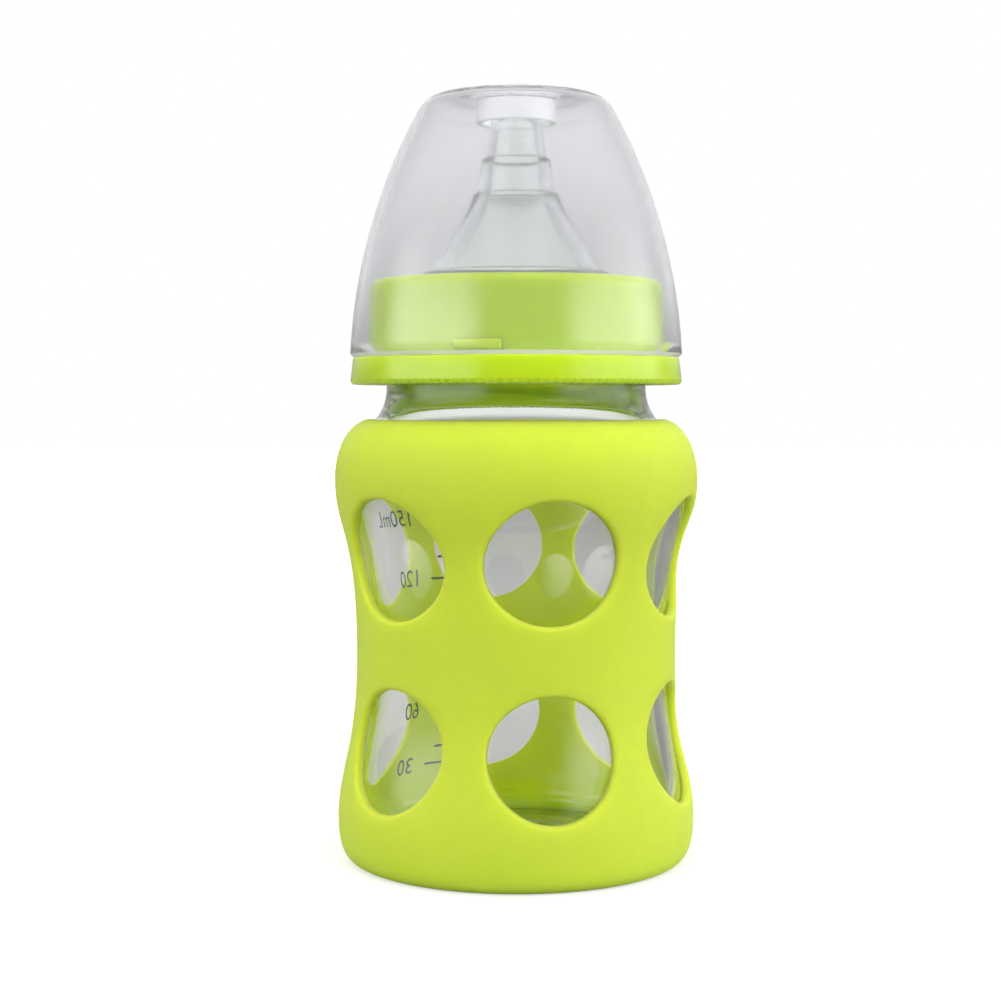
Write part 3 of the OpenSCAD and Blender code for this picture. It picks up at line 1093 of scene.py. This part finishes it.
        def on_seam(co):
            """Whether a point lies on the outside of a seam, above its start."""
            turn = turn_of(co) - first
            aside = min(abs(turn), abs(turn + math.pi), abs(turn - math.pi)) * radial(co)
            outside = radial(co) > radius_at(self.inside, co.z) + sleeve.wall / 2
            return aside < self.SEAM_NEAR and co.z > sleeve.seam_low and outside

        edit(piece)
        select_where(piece, on_seam, "EDGE")
        bpy.ops.mesh.bevel(offset=sleeve.seam, segments=2, profile=0.5, affect="EDGES")
        select_where(piece, on_seam)
        move_selected(piece, lambda co: wrapped(turn_of(co), radial(co) + sleeve.seam_rise, co.z))
        bpy.ops.object.mode_set(mode="OBJECT")


def spread(path, count):
    """A number of points along a path, evenly spaced up to its end."""
    lengths = [0.0]
    for a, b in zip(path, path[1:]):
        lengths.append(lengths[-1] + (b - a).length)
    points = []
    for i in range(1, count + 1):
        wanted = lengths[-1] * i / count
        j = next(k for k in range(1, len(lengths)) if lengths[k] >= wanted - WELD)
        share = (wanted - lengths[j - 1]) / (lengths[j] - lengths[j - 1])
        points.append(path[j - 1].lerp(path[j], share))
    return points


class BOTTLE_OT_collar(bpy.types.Operator):
    """Turn the screw collar, cut its grip notches and add its thread and lugs"""

    bl_idname = "bottle.collar"
    bl_label = "Screw collar"

    # Columns of points for a notch and the space beside it, and those that the notch presses in
    COLUMNS = 4
    PRESSED = (0, 1)
    # Height and width of a notch as shares of the flange's lower rounding
    NOTCH_H = 0.97
    NOTCH_W = 1.2
    # Plain stretch at each end of the threaded bore
    PLAIN = 1 * MM
    # Parts of a lug along its bend
    LUG_PARTS = 8

    def execute(self, context):
        collar = context.scene.bottle_collar
        thread = context.scene.bottle_thread
        neck_z = glass_outside(context.scene.bottle_glass)[-1].y
        piece = turned("collar_plastic", self.outline(collar), self.COLUMNS * collar.notches)
        self.cut_notches(piece, collar)
        self.raise_thread(piece, collar, thread, neck_z + thread.start - thread.pitch / 2)
        self.add_lugs(piece, collar)
        smooth(piece, crease=35)
        finish = lime_plastic(context.scene.bottle_colours)
        finish_piece(piece, finish, "collar", "screw_collar")
        return {"FINISHED"}

    def outline(self, collar):
        """Closed half section of the collar."""
        flange_top = collar.low_z + collar.flange_h
        flange_r = collar.flange - collar.taper
        roof_z = collar.top_z - collar.roof
        edge = collar.roof / 2
        groove_z = flange_top - collar.skirt
        groove_r = flange_r - collar.skirt
        rows = round((roof_z - collar.low_z) / THREAD_ROW)
        bore = [point(collar.bore, roof_z - (roof_z - collar.low_z) * i / rows) for i in range(rows + 1)]
        low = point(collar.flange - collar.round_low, collar.low_z + collar.round_low)
        high = point(flange_r - collar.round_flange, flange_top - collar.round_flange)
        crest = point(collar.ring - collar.draft - collar.round_top, collar.top_z - collar.round_top)
        return chain(
            bore,
            [point(collar.ring, collar.low_z), point(collar.ring, groove_z)],
            [point(groove_r, groove_z), point(groove_r, collar.low_z)],
            corner(low, collar.round_low, -90, 0),
            [point(collar.flange, collar.low_z + collar.round_low + collar.notch)],
            corner(high, collar.round_flange, 0, 90, steps=3),
            [point(collar.ring, flange_top)],
            corner(crest, collar.round_top, 0, 90, steps=8),
            corner(point(collar.hole + edge, collar.top_z - edge), edge, 90, 180),
            [point(collar.hole, roof_z), point(collar.bore, roof_z)],
        )

    def cut_notches(self, piece, collar):
        """Presses the grip notches into the rounded lower edge of the flange."""
        top_z = collar.low_z + collar.round_low * self.NOTCH_H
        inner_r = collar.flange - self.NOTCH_W * collar.round_low
        for v in piece.data.vertices:
            turns = math.atan2(v.co.y, v.co.x) / math.tau
            column = round(turns * self.COLUMNS * collar.notches) % self.COLUMNS
            if column in self.PRESSED and v.co.z < top_z and radial(v.co) > inner_r:
                widen(v.co, -collar.notch, radial(v.co))
                v.co.z += collar.notch / 2

    def raise_thread(self, piece, collar, thread, low_z):
        """Raises the thread inside the bore, between the ridges of the neck's own thread."""
        start_z = collar.low_z + self.PLAIN
        end_z = collar.top_z - collar.roof - self.PLAIN
        for v in piece.data.vertices:
            if abs(radial(v.co) - collar.bore) < NEAR and start_z < v.co.z < end_z:
                widen(v.co, -thread_ridge(thread, v.co, low_z), collar.bore)

    def add_lugs(self, piece, collar):
        """Adds the lugs as rounded bars bent round the ring."""
        deselect()
        bpy.ops.mesh.primitive_cube_add(size=1)
        lug = new_piece("lug")
        width = collar.lug_w * collar.ring
        reach = collar.lug_r - collar.ring + collar.lug_root
        for v in lug.data.vertices:
            v.co.x *= width
            v.co.y *= reach
            v.co.z *= collar.lug_h
        edit(lug, "SELECT")
        bpy.ops.mesh.bevel(offset=collar.lug_round, segments=3, profile=0.5, affect="EDGES")
        for i in range(1, self.LUG_PARTS):
            bpy.ops.mesh.select_all(action="SELECT")
            cut = (width * (i / self.LUG_PARTS - 0.5), 0, 0)
            bpy.ops.mesh.bisect(plane_co=cut, plane_no=(1, 0, 0), threshold=WELD)
        bpy.ops.object.mode_set(mode="OBJECT")
        lugs = [lug]
        for _ in range(1, collar.lugs):
            copy = lug.copy()
            copy.data = lug.data.copy()
            bpy.context.scene.collection.objects.link(copy)
            lugs.append(copy)
        mid_r = collar.ring - collar.lug_root + reach / 2
        mid_z = collar.low_z + collar.flange_h + collar.lug_lift + collar.lug_h / 2
        for i, copy in enumerate(lugs):
            turn = collar.lug_turn + math.tau * i / collar.lugs
            for v in copy.data.vertices:
                v.co = wrapped(turn + v.co.x / collar.ring, mid_r - v.co.y, mid_z + v.co.z)
        join([piece, *lugs], piece.name)


class BOTTLE_OT_teat(bpy.types.Operator):
    """Turn the silicone teat"""

    bl_idname = "bottle.teat"
    bl_label = "Teat"

    # Share of a tier's height and draft where its straight side ends
    TIER_END = 0.8
    # Height over which a step eases into the side above it, in widths of the step
    STEP_RISE = 4 / 3

    def execute(self, context):
        teat = context.scene.bottle_teat
        collar = context.scene.bottle_collar
        piece = turned("teat_silicone", self.outline(teat, collar), steps=96)
        smooth(piece, crease=50)
        finish = clear_silicone(context.scene.bottle_colours)
        finish_piece(piece, finish, "teat", "teat")
        return {"FINISHED"}

    def tier(self, r, z, teat):
        """A rounded step inwards and the drafted side of one tier."""
        soft = teat.step / 2
        inner = r - teat.step
        ledge = point(inner, z + soft)
        side = point(inner, z + teat.step * self.STEP_RISE)
        return chain(
            corner(point(r - soft, z), soft, 0, 90, steps=5),
            curve(point(r - soft, z + soft), ledge, ledge, side, steps=6),
            [point(inner - teat.draft * self.TIER_END, z + teat.tier_h * self.TIER_END)],
        )

    def side(self, a, d):
        """Side of the bell, almost a cone."""
        run, rise = d - a
        leaving = point(BELL_LOW_PULL[0] * run, BELL_LOW_PULL[1] * rise)
        arriving = point(BELL_HIGH_PULL[0] * run, BELL_HIGH_PULL[1] * rise)
        return curve(a, a + leaving, d - arriving, d, steps=20)

    def outline(self, teat, collar):
        """Closed half section, from the feed hole down the inside and up the outside."""
        roof_z = teat.low_z + teat.flange_t
        groove = collar.hole - teat.fit
        bead_z = collar.top_z + teat.fit
        bead = teat.bead_h / 2
        bell_z = bead_z + teat.bead_h
        stem_z = bell_z + teat.bell_h
        mid_z = stem_z + teat.tier_h
        tip_z = mid_z + teat.tier_h
        narrow = teat.step + teat.draft
        tip = teat.stem - 2 * narrow
        edge = teat.edge
        outer = chain(
            [point(groove, roof_z), point(groove, bead_z)],
            corner(point(collar.hole + teat.bead - bead, bead_z + bead), bead, -90, 90, steps=8),
            self.side(point(teat.bell, bell_z), point(teat.stem, stem_z)),
            self.tier(teat.stem, stem_z, teat),
            self.tier(teat.stem - narrow, mid_z, teat),
            self.dome(tip, tip_z, teat.top_z, teat.feed),
        )
        inner_bell = teat.bell - teat.wall
        inner_stem = teat.stem - teat.step - teat.wall
        inner = chain(
            [point(inner_bell, teat.low_z + edge)],
            self.side(point(inner_bell, bell_z - teat.wall), point(inner_stem, stem_z - teat.wall)),
            self.dome(tip - teat.wall, tip_z, teat.top_z - teat.wall, teat.feed),
        )
        flange = chain(
            corner(point(inner_bell + edge, teat.low_z + edge), edge, 180, 270, steps=3),
            corner(point(teat.flange - edge, teat.low_z + edge), edge, -90, 0, steps=3),
            corner(point(teat.flange - edge, roof_z - edge), edge, 0, 90, steps=3),
        )
        return chain(reversed(inner), flange, outer, [inner[-1]])

    def dome(self, r, z, top, hole):
        """Rounded end that stops at the feed hole."""
        rise = point(0, TIP_PULL[0] * (top - z))
        return curve(point(r, z), point(r, z) + rise, point(TIP_PULL[1] * r, top), point(hole, top))


class BOTTLE_OT_cap(bpy.types.Operator):
    """Turn the clear dust cap with the ring inside its crown"""

    bl_idname = "bottle.cap"
    bl_label = "Dust cap"

    def execute(self, context):
        cap = context.scene.bottle_cap
        colours = context.scene.bottle_colours
        piece = turned("cap_plastic", self.outline(cap))
        smooth(piece, crease=50)
        finish_piece(piece, clear_plastic(colours), "cap", "dust_cap")
        # A painted highlight: the rim's foot and the crown ring get a whiter finish
        self.whiten(piece, cap, milky_plastic(colours))
        return {"FINISHED"}

    def whiten(self, piece, cap, material):
        """Gives the rim's foot and the ring in the crown a whiter, less clear finish, painted there as a
        highlight.
        """
        piece.data.materials.append(material)
        ring_r = cap.boss + cap.boss_wall + WELD
        ring_z = cap.top_z - cap.wall - WELD
        for face in piece.data.polygons:
            corners = [piece.data.vertices[i].co for i in face.vertices]
            foot = all(co.z < cap.low_z + cap.bevel + WELD for co in corners)
            ring = all(radial(co) < ring_r and co.z < ring_z for co in corners)
            if foot or ring:
                face.material_index = 1

    def wall(self, cap, inset):
        """Wall of the cap from its rim to the flat of its crown, moved inwards by inset."""
        low = point(cap.rim - inset, cap.low_z + cap.bevel)
        high = point(cap.crown - inset, cap.top_z - cap.crown_h - inset / 2)
        flat = point(cap.crown - cap.crown_edge, cap.top_z - inset)
        run = low.x - high.x
        rise = high.y - low.y
        leaving = point(-CAP_LOW_PULL[0] * run, CAP_LOW_PULL[1] * rise)
        arriving = point(-CAP_HIGH_PULL[0] * run, CAP_HIGH_PULL[1] * rise)
        lean = arriving / arriving.y * CROWN_PULL[0] * (flat.y - high.y)
        return chain(
            curve(low, low + leaving, high - arriving, high, steps=24),
            curve(high, high + lean, flat + point(CROWN_PULL[1] * cap.crown_edge, 0), flat),
        )

    def outline(self, cap):
        """Closed half section, from the crown down the outside and up the inside to the ring."""
        ceiling = cap.top_z - cap.wall
        outer_r = cap.boss + cap.boss_wall
        low_z = ceiling - cap.boss_h
        edge, fillet = cap.edge, cap.fillet
        return chain(
            [point(0, cap.top_z)],
            reversed(self.wall(cap, 0)),
            [point(cap.rim - cap.bevel, cap.low_z), point(cap.rim - cap.wall + edge, cap.low_z)],
            [point(cap.rim - cap.wall, cap.low_z + edge)],
            self.wall(cap, cap.wall),
            corner(point(outer_r + fillet, ceiling - fillet), fillet, 90, 180, steps=4),
            corner(point(outer_r - edge, low_z + edge), edge, 0, -90, steps=3),
            corner(point(cap.boss + edge, low_z + edge), edge, -90, -180, steps=3),
            corner(point(cap.boss - fillet, ceiling - fillet), fillet, 0, 90, steps=4),
            [point(0, ceiling)],
        )


# Softboxes, first those for soft light, then those for reflections, in metres and degrees from the camera
FILL = (
    dict(name="fill_left", distance=0.75, turn=-62, z=0.6, size=(1.1, 0.6), radiance=0.75),
    dict(name="fill_right", distance=0.75, turn=76, z=0.14, size=(1.35, 0.9), radiance=1.5),
    dict(name="fill_top", distance=0.05, turn=0, z=0.85, size=(0.9, 0.9), radiance=0.2),
    dict(name="fill_front", distance=0.75, turn=0, z=0.65, size=(0.8, 0.4), radiance=4.6),
)
SHINE = (
    dict(name="shine_left", distance=0.7, turn=-62, z=0.22, size=(1.35, 0.6), radiance=2.8),
    dict(name="shine_right", distance=0.7, turn=76, z=0.22, size=(1.5, 0.6), radiance=2.3),
    dict(name="shine_top", distance=0.05, turn=0, z=0.8, size=(0.9, 0.9), radiance=1.0),
)
# Share of a shine lamp's width and height over which its light fades
FADE = (0.3, 0.5)

# Brightness of the world for the camera and for soft light
WHITE = 1.0
SOFT = 0.6
# Brightness of the world that clear and glossy pieces show, as a product of stretches. Each has what it
# measures, how far a ray points to the camera's side or up, the start and end of it, and the levels there
BACKDROP = (
    ("before", -0.97, -0.4, 0.9, 0.4),
    ("before", -0.4, 0.5, 1.0, 0.025),
    ("up", 0.03, 0.14, 0.45, 1.0),
)

# Bounces that light needs to leave the thick glass of the neck, and to pass all the clear walls
BOUNCES = 40
CLEAR_WALLS = 24


class BOTTLE_OT_stage(bpy.types.Operator):
    """Set up the white floor, the softboxes, the world and the camera"""

    bl_idname = "bottle.stage"
    bl_label = "Studio"

    def execute(self, context):
        scene = context.scene
        studio = scene.bottle_studio
        self.floor(studio, scene.bottle_colours)
        for lamp in FILL:
            box = self.softbox(scene, studio, **lamp)
            box.visible_glossy = False
            box.visible_transmission = False
            box.data.cycles.use_multiple_importance_sampling = False
        for lamp in SHINE:
            box = self.softbox(scene, studio, **lamp)
            box.visible_diffuse = False
            self.fade(box.data)
        self.world(scene, studio)
        self.camera(scene, studio)
        scene.view_settings.view_transform = "Standard"
        scene.cycles.use_denoising = True
        scene.cycles.max_bounces = BOUNCES
        scene.cycles.glossy_bounces = BOUNCES
        scene.cycles.transmission_bounces = BOUNCES
        scene.cycles.transparent_max_bounces = CLEAR_WALLS
        return {"FINISHED"}

    def floor(self, studio, colours):
        """A wide, flat floor of paper."""
        deselect()
        bpy.ops.mesh.primitive_plane_add(size=studio.floor)
        floor = new_piece("studio_floor")
        floor.data.materials.append(studio_paper(colours, studio))

    def softbox(self, scene, studio, name, distance, turn, z, size, radiance):
        """A rectangular lamp at a turn from the camera, aimed at the middle of the bottle."""
        lamp = bpy.data.lights.new(name, "AREA")
        lamp.shape = "RECTANGLE"
        lamp.size, lamp.size_y = size
        lamp.energy = radiance * math.pi * size[0] * size[1]
        box = bpy.data.objects.new(name, lamp)
        box.location = wrapped(studio.turn + math.radians(turn), distance, z)
        aim = Vector((0, 0, CAD_BOX[1][2] / 2)) - box.location
        box.rotation_euler = aim.to_track_quat("-Z", "Y").to_euler()
        scene.collection.objects.link(box)
        return box

    def fade(self, lamp):
        """Lets a lamp's light fall off softly towards its edges."""
        lamp.use_nodes = True
        tree = lamp.node_tree
        place = tree.nodes.new("ShaderNodeNewGeometry")
        axes = tree.nodes.new("ShaderNodeSeparateXYZ")
        tree.links.new(place.outputs["Parametric"], axes.inputs["Vector"])
        level = 1.0
        for axis, soft in zip(axes.outputs, FADE):
            away = worked_out(tree, "ABSOLUTE", worked_out(tree, "SUBTRACT", axis, 0.5))
            edge = mapped(tree, away, 0.5, 0.5 - soft, kind="SMOOTHSTEP")
            level = worked_out(tree, "MULTIPLY", level, edge)
        tree.links.new(level, tree.nodes["Emission"].inputs["Strength"])

    def world(self, scene, studio):
        """White for the camera, even for soft light, and for other rays bright only behind the bottle."""
        world = bpy.data.worlds.new("studio_world")
        world.use_nodes = True
        tree = world.node_tree
        place = tree.nodes.new("ShaderNodeTexCoord").outputs["Generated"]
        axes = tree.nodes.new("ShaderNodeSeparateXYZ")
        tree.links.new(place, axes.inputs["Vector"])
        measures = {"before": towards(tree, place, studio.turn), "up": axes.outputs["Z"]}
        level = 1.0
        for measure, *stretch in BACKDROP:
            level = worked_out(tree, "MULTIPLY", level, mapped(tree, measures[measure], *stretch))
        path = tree.nodes.new("ShaderNodeLightPath").outputs
        clear = worked_out(tree, "MAXIMUM", path["Is Glossy Ray"], path["Is Transmission Ray"])
        light = mixed(tree, path["Is Camera Ray"], mixed(tree, clear, SOFT, level), WHITE)
        back = tree.nodes["Background"]
        set_sockets(back, Color=(1, 1, 1, 1))
        tree.links.new(light, back.inputs["Strength"])
        scene.world = world

    def camera(self, scene, studio):
        """The camera at the photograph's distance, height and turn."""
        data = bpy.data.cameras.new("camera")
        data.lens = studio.lens
        data.sensor_width = 36
        data.clip_start = 0.01
        camera = bpy.data.objects.new("camera", data)
        camera.location = wrapped(studio.turn, studio.distance, studio.eye)
        camera.rotation_euler = (math.pi / 2 - studio.dip, 0, studio.turn + studio.pan)
        scene.collection.objects.link(camera)
        scene.camera = camera


class BOTTLE_PT_panel(bpy.types.Panel):
    """Lists the pieces of the bottle in the sidebar"""

    bl_label = "Glass baby bottle"
    bl_idname = "BOTTLE_PT_panel"
    bl_space_type = "VIEW_3D"
    bl_region_type = "UI"
    bl_category = "Bottle"

    def draw(self, context):
        for operator in OPERATORS:
            self.layout.operator(operator.bl_idname)


OPERATORS = (
    BOTTLE_OT_glass,
    BOTTLE_OT_scale,
    BOTTLE_OT_sleeve,
    BOTTLE_OT_collar,
    BOTTLE_OT_teat,
    BOTTLE_OT_cap,
    BOTTLE_OT_stage,
)
CLASSES = (*GROUPS.values(), *OPERATORS, BOTTLE_PT_panel)


def register():
    """Registers the classes and hangs the sizes on the scene."""
    for cls in CLASSES:
        bpy.utils.register_class(cls)
    for name, cls in GROUPS.items():
        setattr(bpy.types.Scene, name, PointerProperty(type=cls))


def unregister():
    """Takes the sizes off the scene and unregisters the classes."""
    for name in GROUPS:
        delattr(bpy.types.Scene, name)
    for cls in reversed(CLASSES):
        bpy.utils.unregister_class(cls)


def main():
    """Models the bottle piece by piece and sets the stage."""
    register()
    bpy.ops.bottle.glass()
    bpy.ops.bottle.scale()
    bpy.ops.bottle.sleeve()
    bpy.ops.bottle.collar()
    bpy.ops.bottle.teat()
    bpy.ops.bottle.cap()
    bpy.ops.bottle.stage()


if __name__ == "__main__":
    main()
